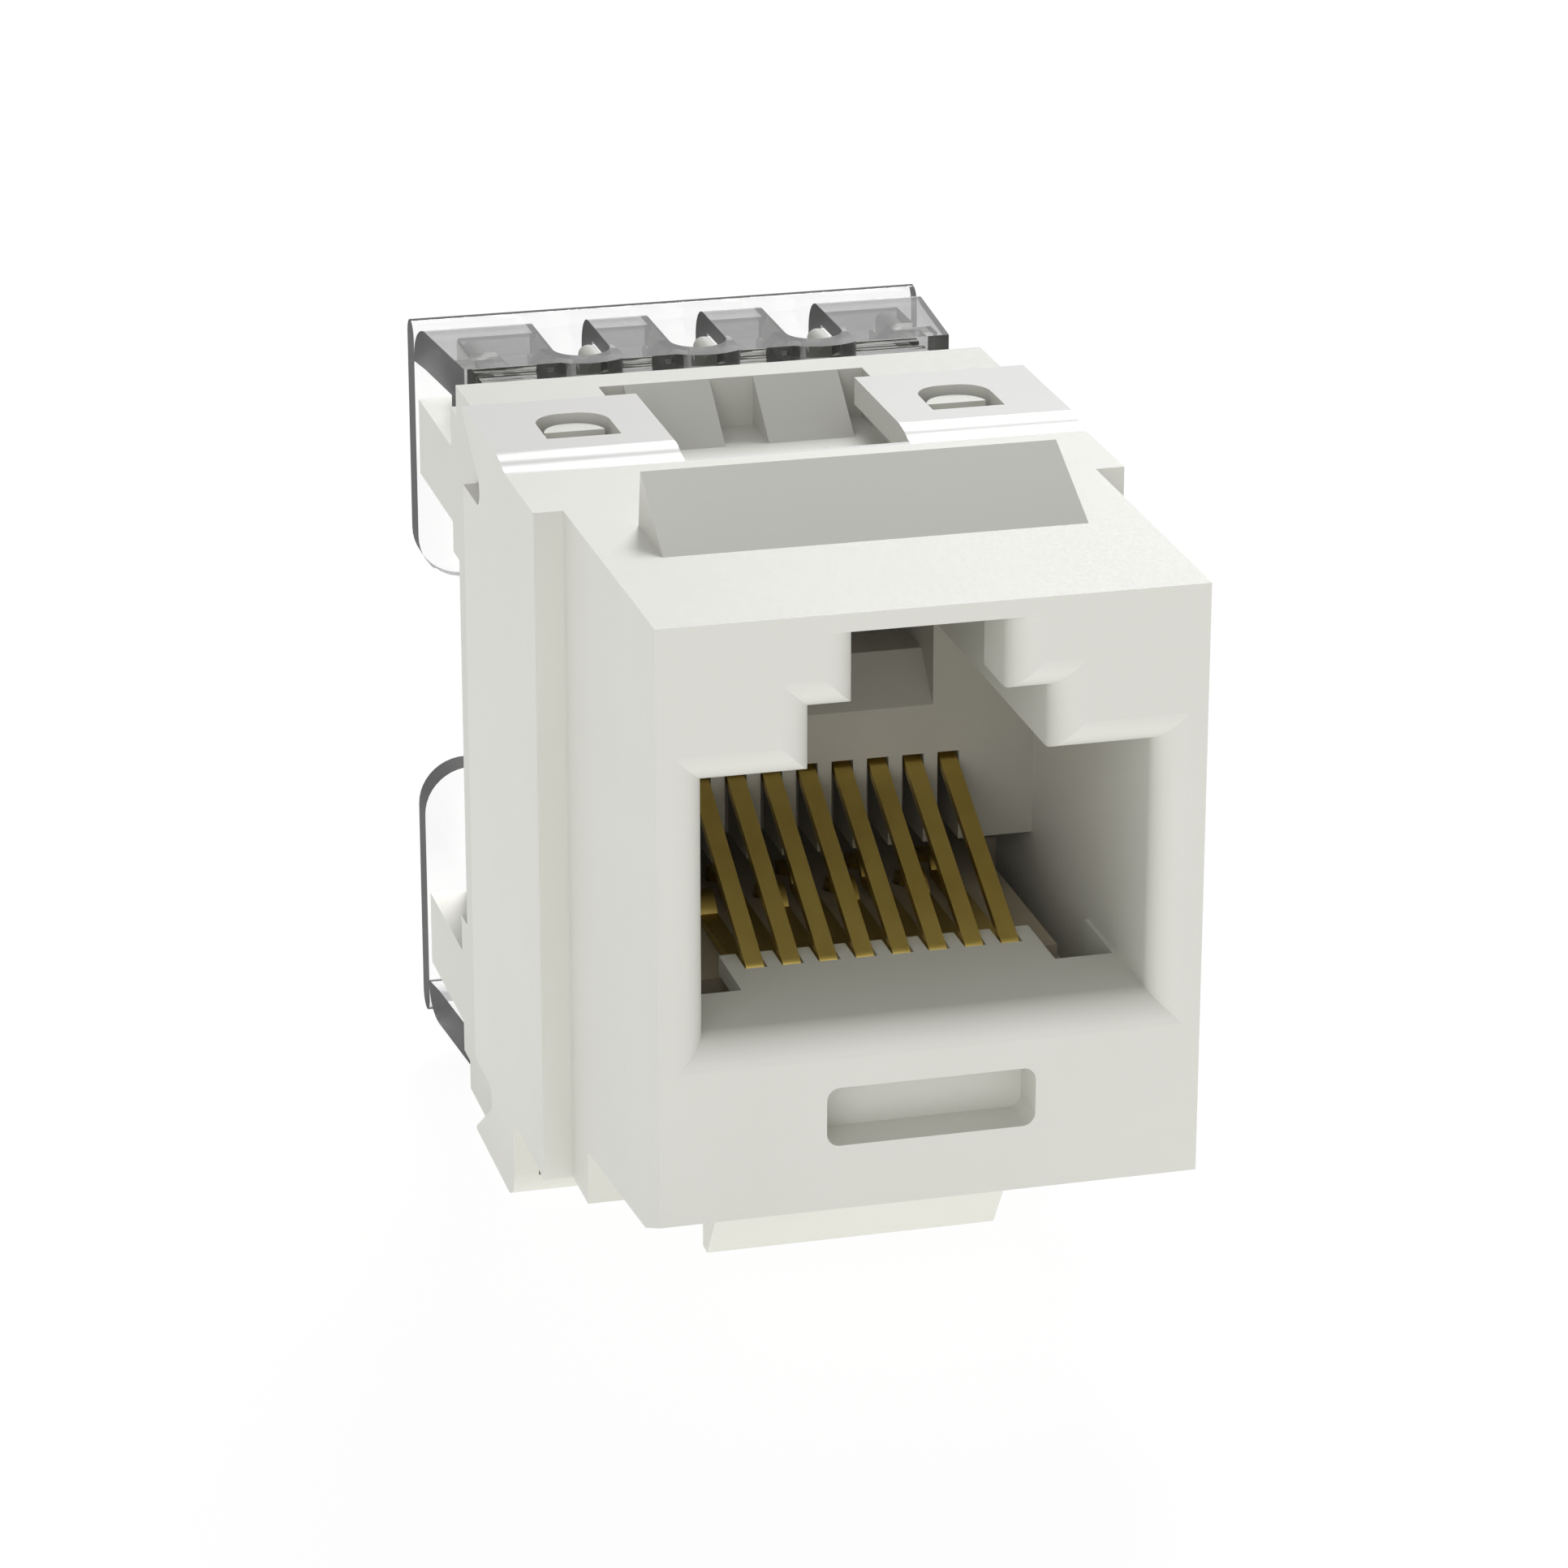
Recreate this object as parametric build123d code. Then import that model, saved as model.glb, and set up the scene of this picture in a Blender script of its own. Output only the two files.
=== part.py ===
from build123d import *
import math
import os

os.makedirs("parts", exist_ok=True)

# An eight-way network jack module with punch-down wire terminals at its back, in millimetres.
# The origin is on the plug axis at the front face. +X is right, +Y goes into the depth, +Z is up.

# Plug port
port_width = 12.06
port_height = 7.03
port_roof = 4.35
step_width = 6.4
step_rise = 1.73
step_depth = 6.34
latch_width = 4.1
latch_rise = 2.12
latch_depth = 2.6
latch_well_width = 6.2
latch_well_wall = 0.8
latch_well_reach = 5.0
mouth_radius = 0.85

# Front body and its flange
face_wall = 1.32
face_height = 16.5
flank_flare = 0.1
flange_step = 0.92
flange_front = 10.15
flange_thickness = 4.13
flange_height = 19.5
chin_depth = 1.6
chin_drop = 0.7
belly_slope = 6.2
foot_reach = 1.85

# Catches that hold the module in a faceplate
top_catch_width = 11.6
top_catch_rise = 1.49
top_catch_ramp = 2.81
top_catch_gap = 1.76
top_catch_draft = 0.06
top_catch_root = 0.4
low_catch_width = 8.3
low_catch_drop = 1.7
low_catch_ramp = 2.4
low_catch_flat = 0.5
low_catch_gap = 1.75

# Label recess under the port
label_width = 5.69
label_height = 1.65
label_depth = 1.3
label_radius = 0.35
label_lift = 1.81

# Snap arms behind the flange
sleeve_length = 5.4
arm_rise = 0.22
arm_drop = 22.05
arm_thickness = 0.8
arm_inner = 3.22
arm_bend = 1.3
arm_bend_lead = 0.58
arm_corner = 0.9
side_wall = 0.72
window_width = 2.11
window_length = 2.28
window_offset = 5.555
window_start = 1.7
window_radius = 0.85
side_slot_length = 2.3
side_slot_drop = 2.08
side_slot_round = 0.27
side_slot_rise = 0.85
slot_bite = 1.0
arm_tip_edge = 0.1

# Shelf with the teeth that guide the contacts
shelf_thickness = 0.55
tongue_width = 8.66
tongue_reach = 5.7
tongue_slot_depth = 1.08
side_opening_start = 3.2
floor_ledge = 0.08

# Contacts
way_count = 8
contact_pitch = 1.016
contact_width = 0.5
contact_thickness = 0.24
contact_angle = 27.0
contact_bend = 0.3
contact_slot_width = 0.62
contact_lift = 0.06
contact_hump = 0.42
contact_hump_length = 1.3
contact_hump_gap = 0.4
contact_tip_gap = 0.72
contact_pin_length = 1.4

# Contact comb at the back of the port
comb_start = 10.9
comb_thickness = 3.2
comb_bottom_drop = 10.75
comb_slot_drop = 8.12
comb_slot_depth = 2.1
comb_ramp_rise = 1.25
comb_ramp_drop = 6.7

# Circuit board
board_drop = 12.2
board_thickness = 1.2
board_width = 10.6
board_edge = 0.4
board_start = 6.1
board_length = 21.3
board_hole_radius = 0.36
first_hole_row = 11.7
hole_row_step = 1.65

# Rear block
block_clearance = 0.05
head_width = 15.7
head_length = 2.9
head_sink = 0.03
web_length = 0.85
web_sink = 0.92
web_height = 4.4
core_width = 13.2
core_depth = 4.9
base_drop = 5.4
pocket_width = 7.84
pocket_depth = 1.5
pocket_start = 13.9
pocket_end_wall = 1.21
ramp_run = 1.95
ramp_width = 2.53
ramp_gap = 1.3
ear_drop = 2.1
ear_height = 2.3
board_bay_reach = 3.0
lug_width = 1.74
lug_start = 1.25
lug_length = 0.78
head_middle_drop = 11.03
row_middle_drop = 11.15

# Wire terminals
wires_per_row = 4
wire_gap = 1.53
fin_width = 0.6
fin_pair_gap = 0.8
fin_round = 0.28
blade_thickness = 0.4
blade_slot = 0.32
blade_tip_drop = 2.2
blade_fork_depth = 2.4
blade_tail_width = 0.8
blade_setback = 2.9
blade_row_step = 1.0
blade_tip_bevel = 0.45
blade_tail_reach = 0.4
blade_channel_reach = 0.75

# Clear caps
cap_wall_width = 15.6
cap_wall_thickness = 1.0
cap_wall_height = 8.1
cap_wall_radius = 1.45
cap_wall_gap = 0.8
cap_rim_height = 1.15
cap_plate_thickness = 0.5
cap_rim_inner = 6.75
cap_hollow_length = 3.7
cap_plate_front_width = 14.62
cap_plate_back_width = 15.32
cap_plate_lead = 0.55
cap_seat = 0.08
cap_groove = 0.95
cap_notch_width = 1.7
cap_notch_end = 0.57
cap_ring_radius = 1.7
cap_comb_setback = 1.25
cap_comb_thickness = 0.7
cap_comb_height = 1.4
cap_comb_gap = 1.05
funnel_neck = 0.42
funnel_mouth = 1.35
funnel_taper = 0.5

# Helps for cutting and joining
overlap = 0.1
margin = 1.0

# Derived widths and places
face_width = port_width + 2 * face_wall
flank_width = face_width + 2 * flank_flare
flange_width = face_width + 2 * flange_step
deck_width = port_width - 2 * floor_ledge
body_top = port_height / 2 + port_roof
port_top = port_height / 2
port_floor = -port_height / 2
step_top = port_top + step_rise
latch_top = step_top + latch_rise
face_bottom = body_top - face_height
flange_back = flange_front + flange_thickness
flange_bottom = body_top - flange_height
foot_front = flange_front - foot_reach
sleeve_back = flange_back + sleeve_length
arm_top = body_top + arm_rise
arm_bottom = body_top - arm_drop
sleeve_middle = (arm_top + arm_bottom) / 2
head_middle = body_top - head_middle_drop
row_middle = body_top - row_middle_drop
comb_top = port_top
comb_bottom = body_top - comb_bottom_drop
comb_back = comb_start + comb_thickness
ramp_low = body_top - comb_ramp_drop
ramp_high = ramp_low + comb_ramp_rise
well_ceiling = body_top - pocket_depth - latch_well_wall
board_top = body_top - board_drop
board_bottom = board_top - board_thickness
board_end = board_start + board_length
cavity_top = arm_top - arm_thickness
cavity_bottom = arm_bottom + arm_thickness
cavity_width = flange_width - 2 * side_wall
slot_inner = cavity_width / 2 - slot_bite
block_front = flange_back + block_clearance
head_front = sleeve_back + block_clearance
head_back = head_front + head_length
web_back = head_back + web_length
core_back = web_back + core_depth
block_top = body_top - head_sink
cap_wall_front = core_back + cap_wall_gap
cap_wall_back = cap_wall_front + cap_wall_thickness
cap_front = web_back + cap_plate_lead
cap_hollow_end = cap_front + cap_hollow_length
cap_comb_front = cap_front + cap_comb_setback
cap_comb_back = cap_comb_front + cap_comb_thickness
cap_comb_low = body_top - cap_plate_thickness - cap_comb_height
row_base = body_top - base_drop
fin_pair_pitch = 2 * fin_width + fin_pair_gap + wire_gap
wire_places = [(i - (wires_per_row - 1) / 2) * fin_pair_pitch for i in range(wires_per_row)]
contact_places = [(i - (way_count - 1) / 2) * contact_pitch for i in range(way_count)]
tower_places = [(a + b) / 2 for a, b in zip(wire_places, wire_places[1:])]
board_rear_width = 2 * (wire_places[-1] + blade_tail_width / 2 + board_edge)


def block(x0, x1, y0, y1, z0, z1):
    """a box between two corners"""
    centre = Pos((x0 + x1) / 2, (y0 + y1) / 2, (z0 + z1) / 2)
    return centre * Box(x1 - x0, y1 - y0, z1 - z0)


def wide(width, y0, y1, z0, z1):
    """a box centred on the plane X = 0"""
    return block(-width / 2, width / 2, y0, y1, z0, z1)


def side_shape(outline, x0, x1):
    """the outline (Y, Z) drawn out along X"""
    face = make_face(Polyline(*[(x0, y, z) for y, z in outline], close=True))
    return extrude(face, x1 - x0, dir=(1, 0, 0))


def side_curve(edges, x0, x1):
    """a closed set of edges, drawn in (Y, Z), drawn out along X"""
    face = Pos(x0, 0, 0) * (Plane.YZ * make_face(edges))
    return extrude(face, x1 - x0, dir=(1, 0, 0))


def plan_shape(outline, z0, z1):
    """the outline (X, Y) drawn up along Z"""
    face = make_face(Polyline(*[(x, y, z0) for x, y in outline], close=True))
    return extrude(face, z1 - z0, dir=(0, 0, 1))


def front_shape(outline, y0, y1):
    """the outline (X, Z) drawn back along Y"""
    face = make_face(Polyline(*[(x, y0, z) for x, z in outline], close=True))
    return extrude(face, y1 - y0, dir=(0, 1, 0))


def turned_over(solid, middle):
    """the same shape upside down, mirrored at the height of the middle"""
    return Pos(0, 0, 2 * middle) * mirror(solid, Plane.XY)


def both_sides(solid):
    """the shape and its mirror image across X = 0"""
    return [solid, mirror(solid, Plane.YZ)]


# Housing
def belly(y):
    """height of the sloping underside at depth y"""
    return face_bottom - chin_drop - (y - chin_depth) * math.tan(math.radians(belly_slope))


def front_body():
    """the nose, whose flanks widen a little towards the flange, with the foot below it"""
    profile = [(0, body_top), (flange_back, body_top), (flange_back, flange_bottom),
               (foot_front, flange_bottom), (foot_front, belly(foot_front)),
               (chin_depth, belly(chin_depth)), (0, face_bottom)]
    right = [(face_width / 2, 0), (flank_width / 2, flange_front), (flank_width / 2, flange_back)]
    flanks = right + [(-x, y) for x, y in reversed(right)]
    nose = side_shape(profile, -flange_width, flange_width)
    nose = nose & plan_shape(flanks, arm_bottom, arm_top)
    return nose + wide(flange_width, flange_front, flange_back, flange_bottom, body_top)


def top_catch():
    """the ramp on top, which draws the module against the faceplate"""
    front = flange_front - top_catch_gap - top_catch_ramp
    back = flange_front - top_catch_gap
    half = top_catch_width / 2
    tip = half - top_catch_draft
    root = body_top - top_catch_root
    crest = body_top + top_catch_rise
    outline = [(-half, root), (half, root), (half, body_top), (tip, crest), (-tip, crest), (-half, body_top)]
    bar = front_shape(outline, front, back)
    ramp = side_shape([(front, root), (back, root), (back, crest), (front, body_top)], -half, half)
    return bar & ramp


def low_catch():
    """the steeper catch under the nose"""
    back = flange_front - low_catch_gap
    edge = back - low_catch_flat
    front = edge - low_catch_ramp
    tip = flange_bottom - low_catch_drop
    root = belly(front) + margin
    outline = [(front, root), (back, root), (back, tip), (edge, tip), (front, belly(front))]
    return side_shape(outline, -low_catch_width / 2, low_catch_width / 2)


def sleeve():
    """the walls behind the flange that end in two snap arms at the top and two at the bottom"""
    bend_start = flange_back - arm_bend_lead
    bend_end = bend_start + arm_bend
    bend_middle = ((bend_start + bend_end) / 2, (body_top + arm_top) / 2)
    bend_radius = (arm_bend ** 2 + arm_rise ** 2) / (4 * arm_rise)
    corner_start = (flange_back + arm_corner, arm_bottom)
    corner_end = (flange_back, arm_bottom + arm_corner)
    step = flange_bottom + arm_thickness
    edges = [RadiusArc((bend_start, body_top), bend_middle, -bend_radius),
             RadiusArc(bend_middle, (bend_end, arm_top), bend_radius),
             Line((bend_end, arm_top), (sleeve_back, arm_top)),
             Line((sleeve_back, arm_top), (sleeve_back, arm_bottom)),
             Line((sleeve_back, arm_bottom), corner_start),
             RadiusArc(corner_start, corner_end, arm_corner),
             Line(corner_end, (flange_back, step)),
             Line((flange_back, step), (bend_start, step)),
             Line((bend_start, step), (bend_start, body_top))]
    return side_curve(edges, -flange_width / 2, flange_width / 2)


def slot_edges(gap, end):
    """outline of the slot beside an arm, round in front and rising to the arm's tip, less a gap all round"""
    low = body_top - side_slot_drop + gap
    start = sleeve_back - side_slot_length + gap
    bend = start + side_slot_round
    high = (bend, low + side_slot_rise - 2 * gap)
    tip = (sleeve_back, arm_top - arm_tip_edge - 2 * gap)
    return [ThreePointArc((bend, low), (start, (low + high[1]) / 2), high),
            Line(high, tip),
            Line(tip, (end, tip[1])),
            Line((end, tip[1]), (end, low)),
            Line((end, low), (bend, low))]


def side_slot():
    """the slot at the side of an arm, open to the back"""
    return side_curve(slot_edges(0, sleeve_back + margin), slot_inner, flange_width)


def sleeve_cuts():
    """the hollow for the rear block, the gaps between the arms and the slots at their sides"""
    back = sleeve_back + margin
    hollow = wide(cavity_width, flange_back, back, cavity_bottom, cavity_top)
    gap_lip = wide(2 * arm_inner, flange_back - arm_bend_lead - margin, back, body_top, arm_top + margin)
    gap_top = wide(2 * arm_inner, flange_back, back, cavity_top - overlap, body_top + margin)
    gap_low = wide(2 * arm_inner, flange_back, back, arm_bottom - margin, cavity_bottom + overlap)
    slots = both_sides(side_slot())
    return [hollow, gap_lip, gap_top, gap_low] + slots + [turned_over(s, sleeve_middle) for s in slots]


def arm_windows():
    """straight at the front, rounded at the back"""
    start = flange_back + window_start
    hole = block(window_offset - window_width / 2, window_offset + window_width / 2,
                 start, start + window_length, cavity_top - overlap, arm_top + margin)
    hole = fillet(hole.edges().filter_by(Axis.Z).group_by(Axis.Y)[-1], window_radius)
    tops = both_sides(hole)
    return tops + [turned_over(t, sleeve_middle) for t in tops]


def plug_port():
    """the stepped port, rounded at its mouth apart from the latch slot's ceiling"""
    outline = [(-port_width / 2, port_floor), (port_width / 2, port_floor), (port_width / 2, port_top),
               (step_width / 2, port_top), (step_width / 2, step_top), (latch_width / 2, step_top),
               (latch_width / 2, latch_top), (-latch_width / 2, latch_top), (-latch_width / 2, step_top),
               (-step_width / 2, step_top), (-step_width / 2, port_top), (-port_width / 2, port_top)]
    return front_shape(outline, -margin, tongue_reach)


def port_hollows():
    """what lies behind the mouth: the wide cavity, the way down to the board and the latch space"""
    end = flange_back + margin
    floor = board_bottom - block_clearance
    under_shelf = port_floor - shelf_thickness
    cavity = wide(port_width, tongue_reach, end, floor, port_top)
    deck = wide(deck_width, side_opening_start, tongue_reach + overlap, floor, under_shelf)
    sides = both_sides(block(tongue_width / 2, deck_width / 2, side_opening_start, tongue_reach + overlap,
                             under_shelf - overlap, port_floor + overlap))
    low = port_top - overlap
    well_end = pocket_start - latch_well_wall
    step = wide(step_width, latch_depth, comb_start, low, latch_top)
    well = wide(latch_well_width, comb_start - overlap, well_end, low, latch_top)
    deep_well = wide(latch_well_width, well_end - overlap, end, low, well_ceiling)
    return [cavity, deck, step, well, deep_well] + sides


def tooth_slots():
    """one slot for each contact, open at the shelf's back edge"""
    start = tongue_reach - tongue_slot_depth
    half = contact_slot_width / 2
    low = port_floor - shelf_thickness - overlap
    return [block(x - half, x + half, start, tongue_reach + overlap, low, port_floor + overlap)
            for x in contact_places]


def label_recess():
    low = face_bottom + label_lift
    recess = wide(label_width, -margin, label_depth, low, low + label_height)
    return fillet(recess.edges().filter_by(Axis.Y), label_radius)


def mouth_edges(solid):
    """the port's edges on the front face, without the latch slot's ceiling"""
    port_rim = wide(port_width + overlap, -overlap, overlap, port_floor - overlap, latch_top + overlap)
    near = port_rim.bounding_box()
    found = []
    for edge in solid.edges():
        box = edge.bounding_box()
        ceiling = box.min.Z > latch_top - overlap
        if near.min.X < box.min.X and box.max.X < near.max.X and near.min.Y < box.min.Y \
                and box.max.Y < near.max.Y and near.min.Z < box.min.Z and not ceiling:
            found.append(edge)
    return found


def housing():
    body = front_body() + top_catch() + low_catch() + sleeve()
    body -= sleeve_cuts()
    body -= wide(pocket_width, pocket_start, flange_back + overlap, body_top - pocket_depth, cavity_top)
    body -= wide(2 * arm_inner, pocket_start, flange_back + overlap, cavity_top - overlap, body_top + margin)
    body -= arm_windows()
    body -= plug_port()
    body = fillet(mouth_edges(body), mouth_radius)
    body -= port_hollows()
    body -= tooth_slots()
    body -= label_recess()
    return body


# Contact comb
def contact_comb():
    """a bar with a slot for each contact and, above the slots, a ramp into the latch well"""
    half = port_width / 2
    comb = block(-half, half, comb_start, comb_back, comb_bottom, comb_top)
    front = comb_start - margin
    back = comb_back + margin
    sky = comb_top + margin
    opening = [(front, ramp_low - margin), (comb_start, ramp_low), (comb_start + comb_ramp_rise, ramp_high),
               (back, ramp_high), (back, sky), (front, sky)]
    comb -= side_shape(opening, -latch_well_width / 2, latch_well_width / 2)
    slot_top = body_top - comb_slot_drop
    slot_end = comb_start + comb_slot_depth
    slot_rise = comb_slot_depth * math.tan(math.radians(contact_angle))
    outline = [(front, slot_top), (comb_start, slot_top), (slot_end, slot_top + slot_rise),
               (slot_end, comb_bottom - overlap), (front, comb_bottom - overlap)]
    half_slot = contact_slot_width / 2
    return comb - [side_shape(outline, x - half_slot, x + half_slot) for x in contact_places]


# Contacts
def hole_row(index):
    """depth of the board hole of one contact: the ways alternate between two rows"""
    return first_hole_row + hole_row_step * (index % 2)


def contact(index):
    """a hairpin spring: up into the comb, round the front bend, back along the board, a hump and a pin"""
    angle = math.radians(contact_angle)
    run = board_top + contact_lift + contact_thickness / 2
    centre_y = tongue_reach - tongue_slot_depth + block_clearance + contact_thickness / 2 + contact_bend
    centre_z = run + contact_bend
    low = (centre_y, run)
    nose = (centre_y - contact_bend, centre_z)
    high = (centre_y - contact_bend * math.sin(angle), centre_z + contact_bend * math.cos(angle))
    reach = comb_start + comb_slot_depth - contact_tip_gap - high[0]
    tip = (high[0] + reach, high[1] + reach * math.tan(angle))
    row = hole_row(index)
    hump_end = row - contact_hump_gap
    hump_start = hump_end - contact_hump_length
    hump_top = ((hump_start + hump_end) / 2, run + contact_hump)
    path = [Line(tip, high), ThreePointArc(high, nose, low), Line(low, (hump_start, run)),
            ThreePointArc((hump_start, run), hump_top, (hump_end, run)), Line((hump_end, run), (row, run))]
    strip = trace(path, contact_thickness)
    spring = extrude(Plane.YZ * strip, contact_width / 2, both=True)
    pin = wide(contact_width, row - contact_thickness / 2, row + contact_thickness / 2,
               run - contact_pin_length, run + contact_thickness / 2)
    return Pos(contact_places[index], 0, 0) * (spring + pin)


# Circuit board
def blade_depth(row):
    """middle depth of a blade: the upper and lower rows stand one behind the other"""
    return web_back + blade_setback - row * blade_row_step


def circuit_board():
    board = wide(board_width, board_start, board_end, board_bottom, board_top)
    board += wide(board_rear_width, block_front + block_clearance, board_end, board_bottom, board_top)
    holes = [Pos(contact_places[i], hole_row(i), (board_top + board_bottom) / 2)
             * Cylinder(board_hole_radius, 2 * board_thickness) for i in range(way_count)]
    slit = blade_thickness / 2 + block_clearance
    tail = blade_tail_width / 2 + block_clearance
    slits = [block(x - tail, x + tail, blade_depth(row) - slit, blade_depth(row) + slit,
                   board_bottom - margin, board_top + margin) for x in wire_places for row in (0, 1)]
    return board - holes - slits


# Rear block
def pocket():
    """the shallow pocket between the arms, with two ramps against its back wall"""
    low = body_top - pocket_depth
    end = head_back - pocket_end_wall
    space = wide(pocket_width, flange_back, end, low, body_top + margin)
    outline = [(end - ramp_run, low - overlap), (end - ramp_run, low), (end, block_top),
               (end + overlap, block_top), (end + overlap, low - overlap)]
    ramp = side_shape(outline, ramp_gap / 2, ramp_gap / 2 + ramp_width)
    return space - both_sides(ramp)


def lug():
    """the half-moon lug that the arm's window catches"""
    start = flange_back + window_start + lug_start
    half = lug_width / 2
    low = cavity_top - arm_thickness
    left = (-half, start, low)
    right = (half, start, low)
    half_moon = make_face([Line(left, right), ThreePointArc(right, (0, start + lug_length, low), left)])
    return Pos(window_offset, 0, 0) * extrude(half_moon, body_top - low, dir=(0, 0, 1))


def key():
    """the flank of the block that fills the slot beside an arm"""
    edges = slot_edges(block_clearance, head_front + overlap)
    flank = side_curve(edges, slot_inner + block_clearance, head_width / 2)
    return flank & wide(head_width, block_front, head_back, head_middle, block_top)


def fins():
    """the fins beside the wires, rounded on top and cut through for the cap's comb"""
    front = web_back - overlap
    foot = row_base - overlap
    half = fin_width / 2
    outer = wire_places[-1] + wire_gap / 2 + half
    inner = [x + side * (fin_pair_gap + fin_width) / 2 for x in tower_places for side in (-1, 1)]
    shapes = []
    for x in inner + [-outer, outer]:
        fin = block(x - half, x + half, front, cap_hollow_end - cap_seat, foot,
                    body_top - cap_plate_thickness - cap_seat)
        fin = fillet(fin.edges().filter_by(Axis.Y).group_by(Axis.Z)[-1], fin_round)
        fin += block(x - half, x + half, front, core_back, foot, body_top - cap_rim_height - cap_seat)
        shapes.append(fin - wide(head_width, cap_comb_front - cap_seat, cap_comb_back + cap_seat,
                                 cap_comb_low - cap_seat, body_top))
    return shapes


def ear():
    """the side block outside the wire row"""
    inner = wire_places[-1] + wire_gap / 2 + fin_width - overlap
    top = body_top - ear_drop
    return block(inner, head_width / 2, web_back - overlap, core_back, top - ear_height, top)


def blade_channels():
    """the narrow ways for the blades' tails, from each wire row down to the board"""
    slit = blade_thickness / 2 + block_clearance
    tail = blade_tail_width / 2 + block_clearance
    low_base = 2 * row_middle - row_base
    ways = [(0, board_top - overlap, row_base + overlap),
            (0, board_bottom - blade_channel_reach, board_bottom + overlap),
            (1, low_base - overlap, board_bottom + overlap),
            (1, board_top - overlap, board_top + blade_channel_reach)]
    return [block(x - tail, x + tail, blade_depth(row) - slit, blade_depth(row) + slit, low, high)
            for x in wire_places for row, low, high in ways]


def rear_block():
    """the insert in the sleeve with its two bays, the head behind it and the two wire rows on a core"""
    insert = wide(cavity_width - 2 * block_clearance, block_front, head_front + overlap,
                  cavity_bottom + block_clearance, cavity_top - block_clearance)
    head = wide(head_width, head_front, head_back, 2 * head_middle - block_top, block_top)
    core = wide(core_width, head_back - overlap, core_back, 2 * row_middle - row_base, row_base)
    web_top = body_top - web_sink
    web = wide(head_width, head_back - overlap, web_back, web_top - web_height, web_top)
    body = insert + head + core + web + turned_over(web, head_middle)
    body -= [pocket(), turned_over(pocket(), sleeve_middle)]
    held = both_sides(lug()) + both_sides(key())
    row = fins() + both_sides(ear())
    body += held + [turned_over(s, sleeve_middle) for s in held]
    body += row + [turned_over(s, row_middle) for s in row]
    body -= wide(board_rear_width + 2 * block_clearance, block_front - margin, board_end + block_clearance,
                 board_bottom - block_clearance, board_top + block_clearance)
    front = block_front - margin
    body -= wide(port_width, front, block_front + board_bay_reach, board_top, comb_bottom)
    body -= wide(latch_well_width, front, block_front + latch_well_reach, ramp_high, well_ceiling)
    return body - blade_channels()


# Insulation-displacement blades
def blade(index):
    """a forked blade with a narrow tail that goes through the board"""
    row = index // wires_per_row
    x = wire_places[index % wires_per_row]
    y = blade_depth(row)
    half = wire_gap / 2 - block_clearance
    tip = body_top - blade_tip_drop
    root = tip - blade_fork_depth
    bevel = tip - blade_tip_bevel
    seat = row_base + block_clearance
    tail_end = board_bottom - blade_tail_reach
    if row == 1:
        tail_end = 2 * row_middle - (board_top + blade_tail_reach)
    slot = blade_slot / 2
    mouth = slot + blade_tip_bevel
    tail = blade_tail_width / 2
    right = [(slot, root), (slot, bevel), (mouth, tip), (half, tip), (half, seat),
             (tail, seat), (tail, tail_end)]
    outline = right + [(-u, z) for u, z in reversed(right)]
    front = y - blade_thickness / 2
    plate = front_shape([(x + u, z) for u, z in outline], front, front + blade_thickness)
    return plate if row == 0 else turned_over(plate, row_middle)


# Clear caps
def cap_profile():
    """top plate and back wall in one, with a rounded groove between them"""
    low = body_top - cap_rim_height
    round_wall = cap_wall_thickness / 2
    groove = cap_wall_front - cap_groove
    groove_low = (cap_wall_front, body_top - cap_groove)
    wall_low = body_top - cap_wall_height
    shoulder = body_top - round_wall
    edges = [Line((cap_front, low), (cap_front, body_top)),
             Line((cap_front, body_top), (groove, body_top)),
             RadiusArc((groove, body_top), groove_low, cap_groove),
             Line(groove_low, (cap_wall_front, shoulder)),
             ThreePointArc((cap_wall_front, shoulder), (cap_wall_front + round_wall, body_top),
                           (cap_wall_back, shoulder)),
             Line((cap_wall_back, shoulder), (cap_wall_back, wall_low)),
             Line((cap_wall_back, wall_low), (cap_wall_front, wall_low)),
             Line((cap_wall_front, wall_low), (cap_wall_front, low)),
             Line((cap_wall_front, low), (cap_front, low))]
    return side_curve(edges, -cap_wall_width / 2, cap_wall_width / 2)


def cap_plan():
    """the cap seen from above: the plate is narrower than the wall and tapers to the front"""
    groove = cap_wall_front - cap_groove
    right = [(cap_plate_front_width / 2, cap_front), (cap_plate_back_width / 2, groove),
             (cap_wall_width / 2, cap_wall_front), (cap_wall_width / 2, cap_wall_back)]
    left = [(-x, y) for x, y in reversed(right)]
    return plan_shape(right + left, arm_bottom, arm_top)


def cap_comb():
    """teeth below the plate, which press the wires down, with a funnel over each wire"""
    half = cap_plate_front_width / 2
    top = body_top - cap_plate_thickness
    low = cap_comb_low
    neck = funnel_neck / 2
    mouth = funnel_mouth / 2
    bar = block(-half, half, cap_comb_front, cap_comb_back, low, top + overlap)
    front = cap_comb_front - margin
    back = cap_comb_back + margin
    right = [(neck, low - margin), (neck, top - funnel_taper), (mouth, top)]
    outline = right + [(-u, z) for u, z in reversed(right)]
    funnels = [front_shape([(x + u, z) for u, z in outline], front, back) for x in wire_places]
    half_gap = cap_comb_gap / 2
    gaps = [block(x - half_gap, x + half_gap, front, back, low - margin, top) for x in tower_places]
    return bar - funnels - gaps


def cap_ring(x):
    """the collar round the end of a wire notch, which bulges over the plate's front edge"""
    centre = cap_front + cap_notch_end + cap_notch_width / 2
    return Pos(x, centre, body_top - cap_plate_thickness / 2) * Cylinder(cap_ring_radius, cap_plate_thickness)


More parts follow.
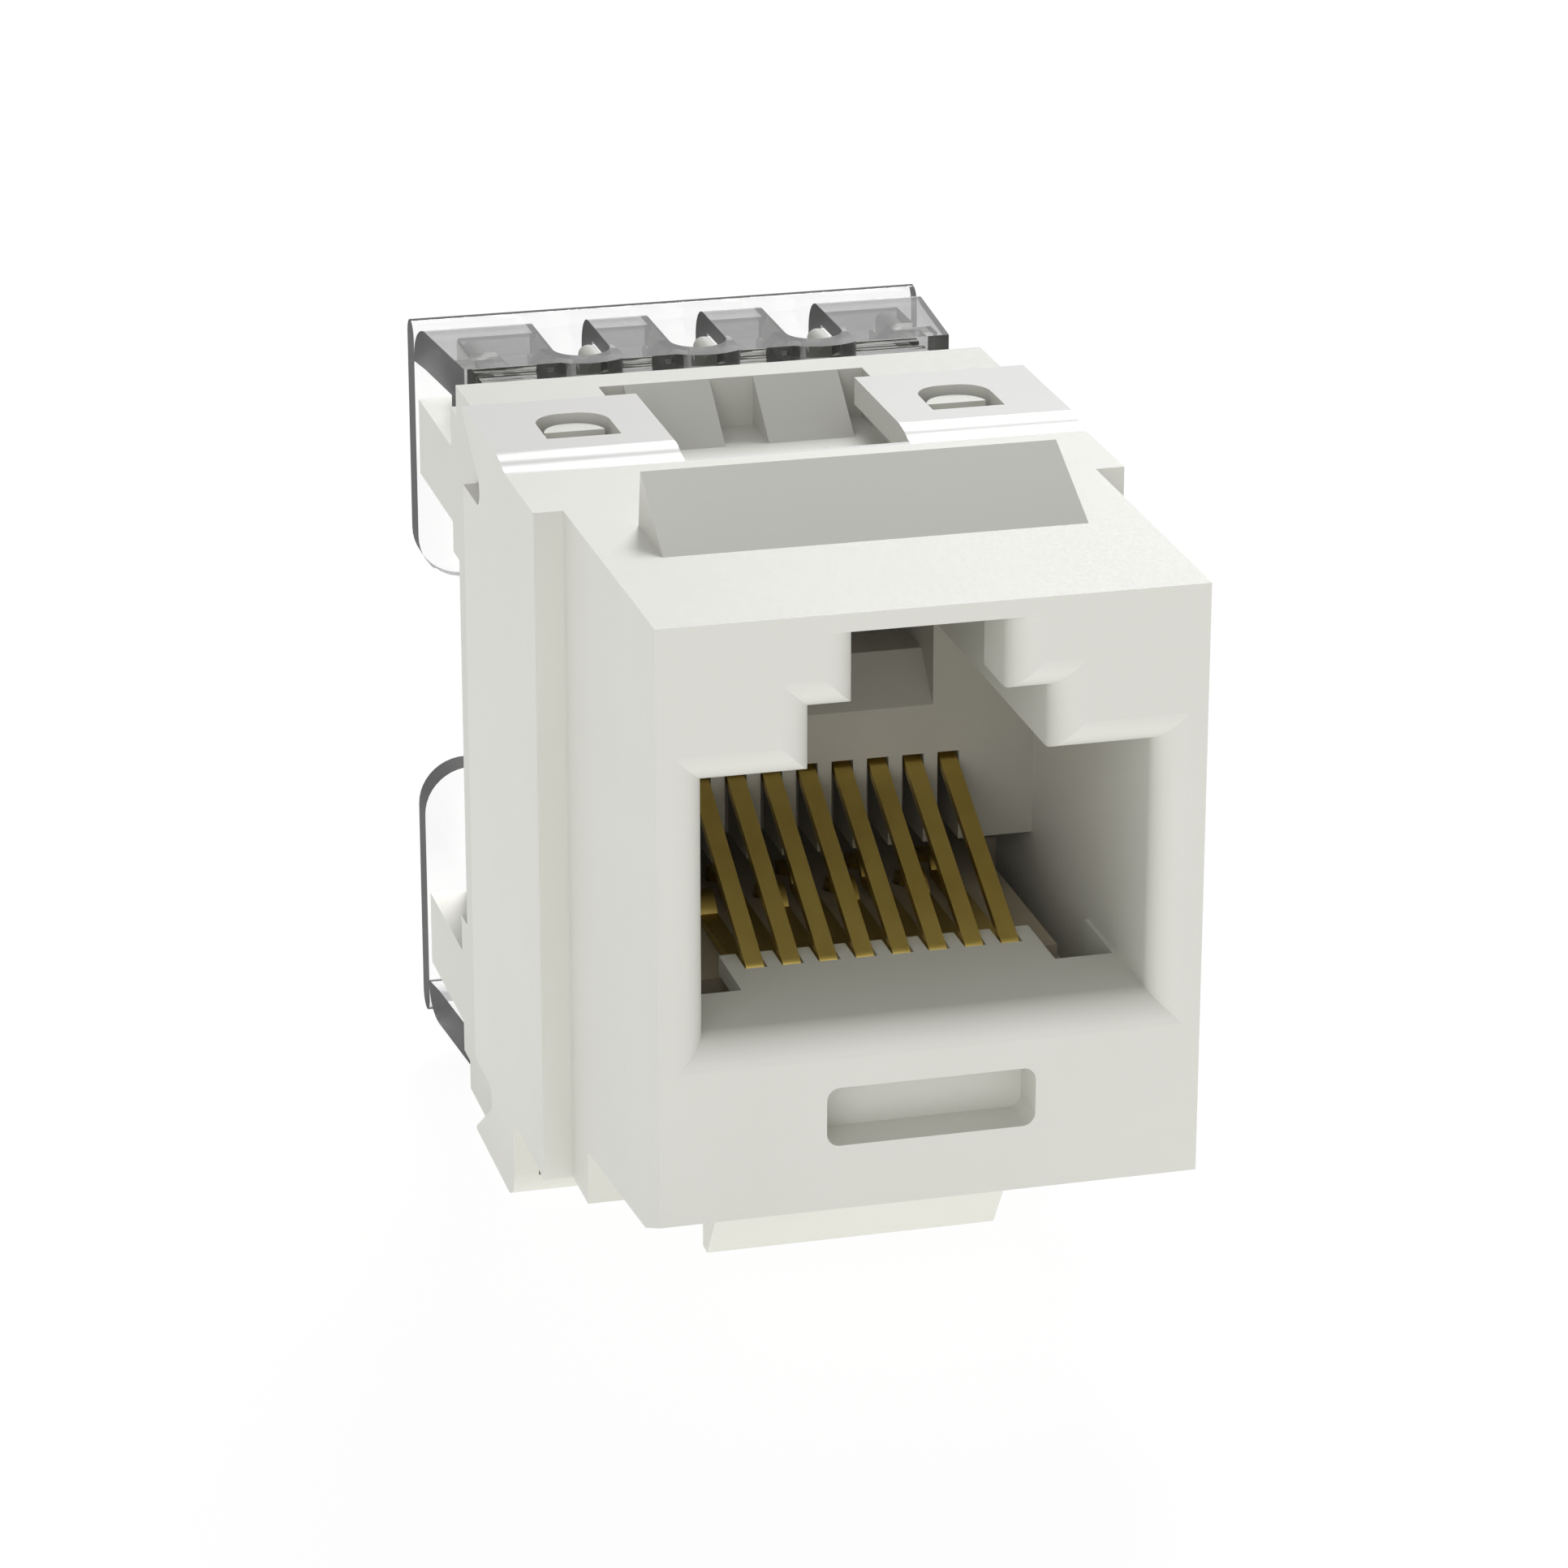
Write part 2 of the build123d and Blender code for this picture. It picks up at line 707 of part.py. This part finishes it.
def cap_notch(x):
    """a round-ended notch for the wires, open at the plate's back edge"""
    radius = cap_notch_width / 2
    centre = cap_front + cap_notch_end + radius
    low = body_top - cap_rim_height - margin
    high = body_top + margin
    hole = block(x - radius, x + radius, centre, cap_wall_front, low, high)
    return hole + Pos(x, centre, (low + high) / 2) * Cylinder(radius, high - low)


def cap():
    body = cap_profile() & cap_plan()
    corners = body.edges().filter_by(Axis.Y).group_by(Axis.Z)[0]
    wall_side = cap_wall_width / 2 - overlap
    body = fillet([edge for edge in corners if abs(edge.center().X) > wall_side], cap_wall_radius)
    body -= wide(2 * cap_rim_inner, cap_front - margin, cap_hollow_end,
                 body_top - cap_rim_height - margin, body_top - cap_plate_thickness)
    body += [cap_ring(x) for x in tower_places]
    body += cap_comb()
    return body - [cap_notch(x) for x in tower_places]


def save(name, shape):
    solids = shape.solids()
    assert len(solids) == 1, (name, len(solids))
    export_step(solids[0], f"parts/{name}.step")


save("housing", housing())
save("contact_comb", contact_comb())
for way in range(way_count):
    save(f"contact_{way + 1}", contact(way))
save("circuit_board", circuit_board())
save("rear_block", rear_block())
for place in range(2 * wires_per_row):
    save(f"idc_blade_{place + 1}", blade(place))
save("upper_cap", cap())
save("lower_cap", turned_over(cap(), row_middle))
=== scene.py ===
import bpy
from mathutils import Matrix, Vector

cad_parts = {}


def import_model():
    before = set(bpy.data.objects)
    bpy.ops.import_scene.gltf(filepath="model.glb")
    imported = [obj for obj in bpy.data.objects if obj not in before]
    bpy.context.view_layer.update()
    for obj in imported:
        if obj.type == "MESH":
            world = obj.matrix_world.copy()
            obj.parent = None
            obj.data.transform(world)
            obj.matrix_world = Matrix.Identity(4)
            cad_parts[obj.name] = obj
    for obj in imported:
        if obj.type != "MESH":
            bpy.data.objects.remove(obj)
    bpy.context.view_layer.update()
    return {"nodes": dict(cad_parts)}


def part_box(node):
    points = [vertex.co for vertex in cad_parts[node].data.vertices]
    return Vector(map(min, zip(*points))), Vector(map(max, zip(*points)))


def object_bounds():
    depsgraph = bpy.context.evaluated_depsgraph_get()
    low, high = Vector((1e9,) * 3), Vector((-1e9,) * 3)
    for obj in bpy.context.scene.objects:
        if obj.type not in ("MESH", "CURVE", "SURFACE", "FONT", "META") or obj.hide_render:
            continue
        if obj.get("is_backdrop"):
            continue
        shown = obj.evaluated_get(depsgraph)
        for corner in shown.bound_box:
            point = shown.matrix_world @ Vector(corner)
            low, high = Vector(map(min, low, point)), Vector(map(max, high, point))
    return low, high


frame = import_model()

# Camera: lens and sensor width in millimetres, nearest distance and place in metres, and the directions of
# its right side and its top
LENS = 127.13
SENSOR = 36.0
NEAREST = 0.01
CAMERA = Vector((-37.364, -127.775, 52.79)) / 1000
RIGHT = Vector((0.96757, -0.25262, -0.00008))
UP = Vector((0.08853, 0.33877, 0.93670))

# Point inside the jack that the lamps face, in metres
MIDDLE = Vector((0, 0.014, -0.003))

# Strength of the even light all round, and of the white that is seen in its place
FILL = 0.44
SEEN_WHITE = 1.0

# Floor: half its width in metres, its own tone, roughness and light, and the plain white that is seen over
# it with the share of that white
FLOOR_HALF = 1.5
FLOOR_TONE = (0.9, 0.9, 0.9, 1)
FLOOR_ROUGH = 0.9
FLOOR_LIGHT = 0.6
FLOOR_WHITE = (0.97, 0.97, 0.97, 1)
FLOOR_SHARE = 0.9
PURE_WHITE = (1, 1, 1, 1)

# CAD nodes that come in rows of eight
CONTACTS = [f"contact_{i}" for i in range(1, 9)]
BLADES = [f"idc_blade_{i}" for i in range(1, 9)]

# The two tones between which the colour of each surface varies
HOUSING_WHITE = ((0.67, 0.67, 0.62), (0.685, 0.685, 0.635))
ARM_WHITE = ((0.67, 0.665, 0.65), (0.685, 0.68, 0.665))
BLOCK_WHITE = ((0.62, 0.62, 0.575), (0.635, 0.635, 0.59))
COMB_GREY = ((0.4, 0.385, 0.335), (0.44, 0.425, 0.375))
GOLD = ((0.58, 0.43, 0.12), (0.66, 0.5, 0.15))
TIN = ((0.62, 0.62, 0.6), (0.74, 0.74, 0.72))
LAMINATE = ((0.42, 0.37, 0.28), (0.48, 0.425, 0.325))
# painted shade: the grey of the cap plates stands in for the shaded inner parts seen through the clear
# plates
CAP_PAINTED_SHADE = ((0.18, 0.18, 0.18), (0.22, 0.22, 0.22))
CAP_CLEAR = ((0.96, 0.96, 0.96), (0.99, 0.99, 0.99))
# painted shade: the dark of the caps' cut edges and back line stands in for the dark look of clear edges
CAP_EDGE_PAINTED_SHADE = ((0.05, 0.05, 0.05), (0.065, 0.065, 0.065))

# The two roughnesses between which each surface varies
HOUSING_ROUGH = (0.47, 0.53)
ARM_ROUGH = (0.21, 0.23)
BLOCK_ROUGH = (0.5, 0.56)
GOLD_ROUGH = (0.28, 0.42)
TIN_ROUGH = (0.2, 0.34)
LAMINATE_ROUGH = (0.3, 0.45)

# Caps: roughness of the faces and of the cut edges, how much light each lets through, and the refraction
CAP_ROUGH = (0.02, 0.8)
CAP_PASSES = (1.0, 0.25)
CAP_IOR = 1.5

# Matt plastic: scale and detail of its clouds, scale of its grain and the grain's depth in metres, strength
# of the grain on the housing and on the inner parts, and specular level
CLOUD_SCALE = 260.0
CLOUD_DETAIL = 3.0
GRAIN_SCALE = 9000.0
GRAIN_DEPTH = 0.00002
HOUSING_GRAIN = 0.03
INNER_GRAIN = 0.04
PLASTIC_SPECULAR = 0.4

# Where the smooth tops of the snap arms start, in depth and in height, and the width of a sharp change, in
# metres
ARM_START = 0.0137
ARM_LOW = 0.0076
SHARP = 0.00001

# Caps, in metres: thickness of the back wall, the way over which the plate's painted shade turns clear,
# width of the painted dark line (painted shade) along the upper cap's back edge, and depth of the plate
# that carries painted shade
CAP_WALL = 0.001
CAP_BLEND = 0.0004
CAP_LINE = 0.00062
CAP_PLATE = 0.0006

# Range that holds most values of a noise, and the range of a normal's part that counts as steep
NOISE_LOW = 0.3
NOISE_HIGH = 0.7
STEEP_LOW = 0.45
STEEP_HIGH = 0.7

# Stretch of the wire's drawing marks: fine across its width, long the other ways
DRAWN = (20000.0, 700.0, 700.0)

# The Mix node's inputs and output for each kind of value
MIX_SOCKETS = {"FLOAT": (2, 3, 0), "RGBA": (6, 7, 2)}


# Node trees
def new_material(name):
    """an empty material with a Principled shader; returns the material, its nodes, links and shader"""
    material = bpy.data.materials.new(name)
    material.use_nodes = True
    nodes = material.node_tree.nodes
    return material, nodes, material.node_tree.links, nodes["Principled BSDF"]


def noise(nodes, links, scale, detail=2.0):
    """noise in the object's own coordinates, which are in metres"""
    place = nodes.new("ShaderNodeTexCoord")
    texture = nodes.new("ShaderNodeTexNoise")
    texture.inputs["Scale"].default_value = scale
    texture.inputs["Detail"].default_value = detail
    links.new(place.outputs["Object"], texture.inputs["Vector"])
    return texture.outputs["Fac"]


def ranged(nodes, links, value, start, end):
    """a share that grows from 0 to 1 while a value goes from start to end; returns the node"""
    mapped = nodes.new("ShaderNodeMapRange")
    mapped.inputs["From Min"].default_value = start
    mapped.inputs["From Max"].default_value = end
    links.new(value, mapped.inputs["Value"])
    return mapped


def spread(nodes, links, value, ends):
    """a noise or a share, set between two numbers"""
    mapped = ranged(nodes, links, value, NOISE_LOW, NOISE_HIGH)
    mapped.inputs["To Min"].default_value = ends[0]
    mapped.inputs["To Max"].default_value = ends[1]
    return mapped.outputs["Result"]


def tint(nodes, links, value, tones):
    """a colour between two near tones"""
    ramp = nodes.new("ShaderNodeValToRGB")
    ramp.color_ramp.elements[0].position = NOISE_LOW
    ramp.color_ramp.elements[1].position = NOISE_HIGH
    ramp.color_ramp.elements[0].color = (*tones[0], 1)
    ramp.color_ramp.elements[1].color = (*tones[1], 1)
    links.new(value, ramp.inputs["Fac"])
    return ramp.outputs["Color"]


def bump(nodes, links, value, strength, distance):
    """surface relief from a height value, distance in metres"""
    node = nodes.new("ShaderNodeBump")
    node.inputs["Strength"].default_value = strength
    node.inputs["Distance"].default_value = distance
    links.new(value, node.inputs["Height"])
    return node.outputs["Normal"]


def along(nodes, links, axis, start, end):
    """a share that grows from 0 to 1 between two places on one axis of the object, in metres"""
    place = nodes.new("ShaderNodeTexCoord")
    parts = nodes.new("ShaderNodeSeparateXYZ")
    links.new(place.outputs["Object"], parts.inputs["Vector"])
    return ranged(nodes, links, parts.outputs[axis], start, end).outputs["Result"]


def steep(nodes, links, value):
    """1 where a normal's part on one axis is large, either way round"""
    size = nodes.new("ShaderNodeMath")
    size.operation = "ABSOLUTE"
    links.new(value, size.inputs[0])
    return ranged(nodes, links, size.outputs["Value"], STEEP_LOW, STEEP_HIGH).outputs["Result"]


def joined(nodes, links, operation, one, other):
    """two shares joined: MULTIPLY is where both hold, MAXIMUM is where either does"""
    node = nodes.new("ShaderNodeMath")
    node.operation = operation
    links.new(one, node.inputs[0])
    links.new(other, node.inputs[1])
    return node.outputs["Value"]


def face_normal(nodes, links):
    """the parts of a face's own normal along X, Y and Z"""
    faces = nodes.new("ShaderNodeNewGeometry")
    parts = nodes.new("ShaderNodeSeparateXYZ")
    links.new(faces.outputs["True Normal"], parts.inputs["Vector"])
    return parts.outputs


def blend(nodes, links, kind, share, first, second):
    """two sockets of one kind, FLOAT or RGBA, blended by a share"""
    node = nodes.new("ShaderNodeMix")
    node.data_type = kind
    low, high, result = MIX_SOCKETS[kind]
    links.new(share, node.inputs[0])
    links.new(first, node.inputs[low])
    links.new(second, node.inputs[high])
    return node.outputs[result]


def blend_shaders(nodes, links, share, first, second):
    """two shaders blended by a share"""
    node = nodes.new("ShaderNodeMixShader")
    links.new(share, node.inputs["Fac"])
    links.new(first, node.inputs[1])
    links.new(second, node.inputs[2])
    return node.outputs["Shader"]


# Materials
def moulded(name, tones):
    """matt moulded plastic: faint cloudiness, uneven gloss and a fine eroded grain"""
    material, nodes, links, shader = new_material(name)
    clouds = noise(nodes, links, CLOUD_SCALE, CLOUD_DETAIL)
    fine = noise(nodes, links, GRAIN_SCALE)
    links.new(tint(nodes, links, clouds, tones), shader.inputs["Base Color"])
    links.new(spread(nodes, links, fine, BLOCK_ROUGH), shader.inputs["Roughness"])
    links.new(bump(nodes, links, fine, INNER_GRAIN, GRAIN_DEPTH), shader.inputs["Normal"])
    shader.inputs["Specular IOR Level"].default_value = PLASTIC_SPECULAR
    return material


def housing_plastic():
    """the housing's matt plastic; the tops of the snap arms are smooth, glossier and more neutral"""
    material, nodes, links, shader = new_material("white_polycarbonate")
    clouds = noise(nodes, links, CLOUD_SCALE, CLOUD_DETAIL)
    fine = noise(nodes, links, GRAIN_SCALE)
    high = along(nodes, links, "Z", ARM_LOW, ARM_LOW + SHARP)
    behind = along(nodes, links, "Y", ARM_START, ARM_START + SHARP)
    level = steep(nodes, links, face_normal(nodes, links)["Z"])
    on_arms = joined(nodes, links, "MULTIPLY", high, behind)
    smooth = joined(nodes, links, "MULTIPLY", on_arms, level)
    matt_tone = tint(nodes, links, clouds, HOUSING_WHITE)
    smooth_tone = tint(nodes, links, clouds, ARM_WHITE)
    matt_rough = spread(nodes, links, fine, HOUSING_ROUGH)
    smooth_rough = spread(nodes, links, fine, ARM_ROUGH)
    links.new(blend(nodes, links, "RGBA", smooth, matt_tone, smooth_tone), shader.inputs["Base Color"])
    links.new(blend(nodes, links, "FLOAT", smooth, matt_rough, smooth_rough), shader.inputs["Roughness"])
    links.new(bump(nodes, links, fine, HOUSING_GRAIN, GRAIN_DEPTH), shader.inputs["Normal"])
    shader.inputs["Specular IOR Level"].default_value = PLASTIC_SPECULAR
    return material


def gold():
    """plated spring wire with fine drawing marks"""
    material, nodes, links, shader = new_material("gold_plating")
    place = nodes.new("ShaderNodeTexCoord")
    stretch = nodes.new("ShaderNodeMapping")
    stretch.inputs["Scale"].default_value = DRAWN
    marks = nodes.new("ShaderNodeTexNoise")
    marks.inputs["Scale"].default_value = 1.0
    links.new(place.outputs["Object"], stretch.inputs["Vector"])
    links.new(stretch.outputs["Vector"], marks.inputs["Vector"])
    clouds = noise(nodes, links, scale=500.0)
    links.new(tint(nodes, links, clouds, GOLD), shader.inputs["Base Color"])
    links.new(spread(nodes, links, marks.outputs["Fac"], GOLD_ROUGH), shader.inputs["Roughness"])
    relief = bump(nodes, links, marks.outputs["Fac"], strength=0.2, distance=0.000005)
    links.new(relief, shader.inputs["Normal"])
    shader.inputs["Metallic"].default_value = 1.0
    return material


def tinned():
    """bright tin on the punch-down blades, slightly streaked"""
    material, nodes, links, shader = new_material("bright_tin")
    streaks = noise(nodes, links, scale=1500.0, detail=4.0)
    links.new(tint(nodes, links, streaks, TIN), shader.inputs["Base Color"])
    links.new(spread(nodes, links, streaks, TIN_ROUGH), shader.inputs["Roughness"])
    shader.inputs["Metallic"].default_value = 1.0
    return material


def laminate():
    """brown laminate with a faint weave under the varnish"""
    material, nodes, links, shader = new_material("dark_laminate")
    place = nodes.new("ShaderNodeTexCoord")
    weave = nodes.new("ShaderNodeTexChecker")
    weave.inputs["Scale"].default_value = 2500.0
    links.new(place.outputs["Object"], weave.inputs["Vector"])
    clouds = noise(nodes, links, scale=700.0)
    links.new(tint(nodes, links, clouds, LAMINATE), shader.inputs["Base Color"])
    relief = bump(nodes, links, weave.outputs["Fac"], strength=0.15, distance=0.00001)
    links.new(relief, shader.inputs["Normal"])
    links.new(spread(nodes, links, clouds, LAMINATE_ROUGH), shader.inputs["Roughness"])
    return material


def clear(node, outer, inward, line):
    """clear polycarbonate: the plate at the outer height grey with painted shade, the rest clear, the cut
    edges dark with painted shade

    inward is 1 or -1, the way from the outer height into the cap; line is the width of the painted dark
    line (painted shade) along the back edge
    """
    material, nodes, links, shader = new_material("clear_" + node)
    waves = noise(nodes, links, scale=180.0, detail=1.0)
    wall_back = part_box(node)[1][1]
    wall_front = wall_back - CAP_WALL
    line_start = wall_back - line
    plate_end = outer + inward * CAP_PLATE
    # where the plate's painted shade goes: near the outer height and in front of the back wall
    in_plate = along(nodes, links, "Z", plate_end + inward * SHARP, plate_end)
    before_wall = along(nodes, links, "Y", wall_front, wall_front - CAP_BLEND)
    at_back = along(nodes, links, "Y", line_start, line_start + SHARP)
    # where the dark painted shade goes: faces turned sideways, and the top faces along the back edge
    normal = face_normal(nodes, links)
    crown = joined(nodes, links, "MULTIPLY", steep(nodes, links, normal["Z"]), at_back)
    painted_edge_share = joined(nodes, links, "MAXIMUM", steep(nodes, links, normal["X"]), crown)
    painted_shade_share = joined(nodes, links, "MULTIPLY", in_plate, before_wall)
    plate = tint(nodes, links, waves, CAP_PAINTED_SHADE)
    wall = tint(nodes, links, waves, CAP_CLEAR)
    painted_edge_shade = tint(nodes, links, waves, CAP_EDGE_PAINTED_SHADE)
    body = blend(nodes, links, "RGBA", painted_shade_share, wall, plate)
    links.new(blend(nodes, links, "RGBA", painted_edge_share, body, painted_edge_shade), shader.inputs["Base Color"])
    links.new(spread(nodes, links, painted_edge_share, CAP_PASSES), shader.inputs["Transmission Weight"])
    links.new(spread(nodes, links, painted_edge_share, CAP_ROUGH), shader.inputs["Roughness"])
    links.new(bump(nodes, links, waves, strength=0.02, distance=0.00005), shader.inputs["Normal"])
    shader.inputs["IOR"].default_value = CAP_IOR
    return material


def dress(node, material):
    """gives a CAD node its material"""
    obj = frame["nodes"][node]
    if not obj.material_slots:
        obj.data.materials.append(material)
    for place in obj.material_slots:
        place.material = material


def materials():
    """gives all 22 CAD nodes their materials; the clear caps cast no shadow"""
    gold_plating = gold()
    tin = tinned()
    dress("housing", housing_plastic())
    dress("rear_block", moulded("white_block_plastic", BLOCK_WHITE))
    dress("contact_comb", moulded("grey_comb_plastic", COMB_GREY))
    dress("circuit_board", laminate())
    for node in CONTACTS:
        dress(node, gold_plating)
    for node in BLADES:
        dress(node, tin)
    dress("upper_cap", clear("upper_cap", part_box("upper_cap")[1][2], -1, CAP_LINE))
    dress("lower_cap", clear("lower_cap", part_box("lower_cap")[0][2], 1, CAP_WALL))
    for node in ("upper_cap", "lower_cap"):
        frame["nodes"][node].visible_shadow = False


# Floor, light and camera
def shows_backdrop(nodes, links):
    """1 for camera, glossy and transmission rays, which see the plain white backdrop"""
    rays = nodes.new("ShaderNodeLightPath")
    direct = joined(nodes, links, "MAXIMUM", rays.outputs["Is Camera Ray"], rays.outputs["Is Glossy Ray"])
    return joined(nodes, links, "MAXIMUM", direct, rays.outputs["Is Transmission Ray"])


def backdrop_material():
    """white with a faint shadow: mostly plain white, the rest lit, and open when seen from below"""
    material, nodes, links, shader = new_material("white_backdrop")
    shader.inputs["Base Color"].default_value = FLOOR_TONE
    shader.inputs["Roughness"].default_value = FLOOR_ROUGH
    shader.inputs["Emission Color"].default_value = PURE_WHITE
    shader.inputs["Emission Strength"].default_value = FLOOR_LIGHT
    glow = nodes.new("ShaderNodeEmission")
    glow.inputs["Color"].default_value = FLOOR_WHITE
    share = nodes.new("ShaderNodeMath")
    share.operation = "MULTIPLY"
    share.inputs[1].default_value = FLOOR_SHARE
    links.new(shows_backdrop(nodes, links), share.inputs[0])
    lit = shader.outputs["BSDF"]
    top = blend_shaders(nodes, links, share.outputs["Value"], lit, glow.outputs["Emission"])
    below = nodes.new("ShaderNodeNewGeometry").outputs["Backfacing"]
    nothing = nodes.new("ShaderNodeBsdfTransparent").outputs["BSDF"]
    sheet = blend_shaders(nodes, links, below, top, nothing)
    links.new(sheet, nodes["Material Output"].inputs["Surface"])
    return material


def floor():
    """a wide white sheet at the height of the jack's lowest point"""
    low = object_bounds()[0][2]
    signs = ((-1, -1), (1, -1), (1, 1), (-1, 1))
    corners = [(x * FLOOR_HALF, y * FLOOR_HALF, low) for x, y in signs]
    mesh = bpy.data.meshes.new("floor")
    mesh.from_pydata(corners, [], [(0, 1, 2, 3)])
    obj = bpy.data.objects.new("floor", mesh)
    obj.data.materials.append(backdrop_material())
    bpy.context.scene.collection.objects.link(obj)
    obj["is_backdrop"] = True


def background(nodes, strength):
    """an even white background of a given strength"""
    node = nodes.new("ShaderNodeBackground")
    node.inputs["Color"].default_value = PURE_WHITE
    node.inputs["Strength"].default_value = strength
    return node.outputs["Background"]


def world():
    """an even light all round, and white where it is seen"""
    studio = bpy.data.worlds.new("studio")
    studio.use_nodes = True
    bpy.context.scene.world = studio
    nodes = studio.node_tree.nodes
    links = studio.node_tree.links
    nodes.clear()
    fill = background(nodes, FILL)
    white = background(nodes, SEEN_WHITE)
    mixed = blend_shaders(nodes, links, shows_backdrop(nodes, links), fill, white)
    output = nodes.new("ShaderNodeOutputWorld")
    links.new(mixed, output.inputs["Surface"])


def area_light(name, place, size, watts):
    """a soft square lamp that faces the middle of the jack and isn't seen through the caps"""
    light = bpy.data.lights.new(name, "AREA")
    light.shape = "SQUARE"
    light.size = size
    light.energy = watts
    obj = bpy.data.objects.new(name, light)
    obj.location = Vector(place)
    obj.rotation_euler = (MIDDLE - obj.location).to_track_quat("-Z", "Y").to_euler()
    obj.visible_transmission = False
    bpy.context.scene.collection.objects.link(obj)


def lights():
    """a softbox behind, which gives the tops their sheen, and a weak wide lamp in front"""
    area_light("back_softbox", place=(0.16, 0.4, 0.29), size=0.14, watts=1.42)
    area_light("front_fill", place=(-0.2, -0.4, 0.13), size=0.3, watts=0.47)


def camera():
    """the camera of the reference view"""
    data = bpy.data.cameras.new("camera")
    data.sensor_width = SENSOR
    data.lens = LENS
    data.clip_start = NEAREST
    obj = bpy.data.objects.new("camera", data)
    back = RIGHT.cross(UP)
    turn = Matrix((RIGHT, UP, back)).transposed().to_4x4()
    obj.matrix_world = Matrix.Translation(CAMERA) @ turn
    bpy.context.scene.collection.objects.link(obj)
    bpy.context.scene.camera = obj


materials()
floor()
world()
lights()
camera()
bpy.context.scene.view_settings.view_transform = "Standard"
